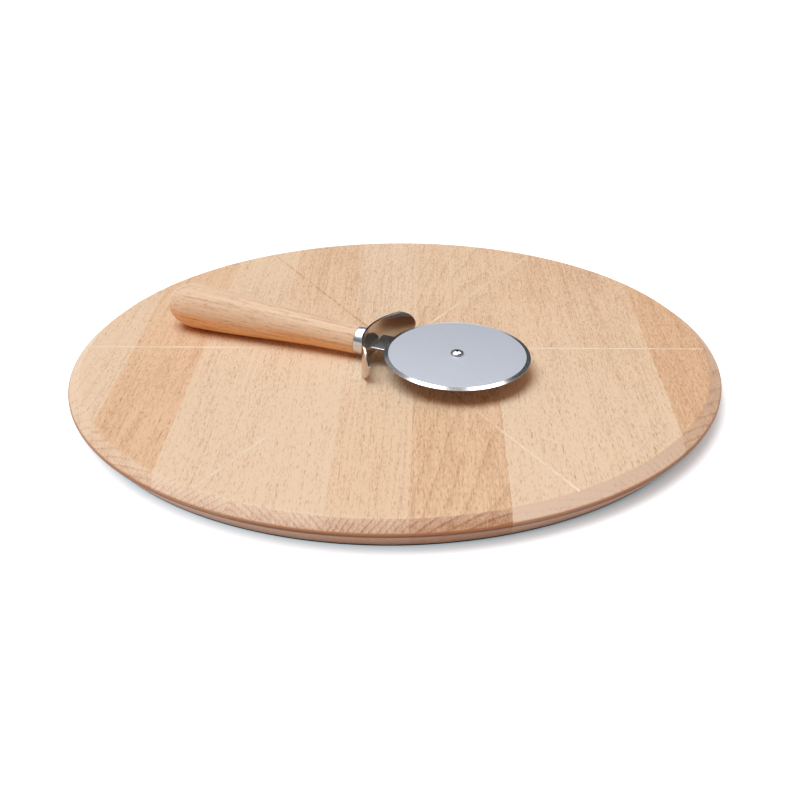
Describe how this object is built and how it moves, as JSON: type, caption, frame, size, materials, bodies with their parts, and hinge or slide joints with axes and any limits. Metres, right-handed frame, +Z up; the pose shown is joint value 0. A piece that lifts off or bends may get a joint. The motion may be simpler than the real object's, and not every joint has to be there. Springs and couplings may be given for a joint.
{
  "type": "pizza serving board",
  "caption": "Round edge-glued beech pizza board with scored slice lines and bevelled rim, and a matching wheel cutter lying on it that lifts off and turns.",
  "frame": {"origin": "centre of the board's underside, on the surface that it stands on", "axes": "+Z up, square to the board; Y along the grain of the staves; X across them, along one scored line"},
  "size_m": [0.32, 0.32, 0.0374],
  "materials": {
    "beech_pale": "fine sanded, lightly oiled",
    "beech_mid": "fine sanded, lightly oiled",
    "beech_warm": "fine sanded, lightly oiled",
    "handle_beech": "turned, satin lacquer",
    "polished_steel": "polished stainless steel",
    "blade_steel": "satin stainless steel"
  },
  "bodies": {
    "board": {"stave_1": "beech_pale", "stave_2": "beech_warm", "stave_3": "beech_pale", "stave_4": "beech_mid", "stave_5": "beech_pale", "stave_6": "beech_warm", "stave_7": "beech_mid", "stave_8": "beech_pale", "stave_9": "beech_warm"},
    "cutter": {"handle": "handle_beech", "ferrule": "polished_steel", "guard": "polished_steel", "arm": "polished_steel", "spacer": "polished_steel", "clinch_washer": "polished_steel", "rivet": "polished_steel"},
    "blade": {"wheel": "blade_steel"}
  },
  "joints": [
    {"name": "cutter_lift", "type": "slide", "parent": "board", "child": "cutter", "axis": [0, 0, 1], "range_m": [0, 0.12]},
    {"name": "wheel_spin", "type": "hinge", "parent": "cutter", "child": "blade", "pos_m": [0.0307, -0.02882, 0.02387], "axis": [0.0229, -0.0412, 0.9989], "continuous": true}
  ]
}
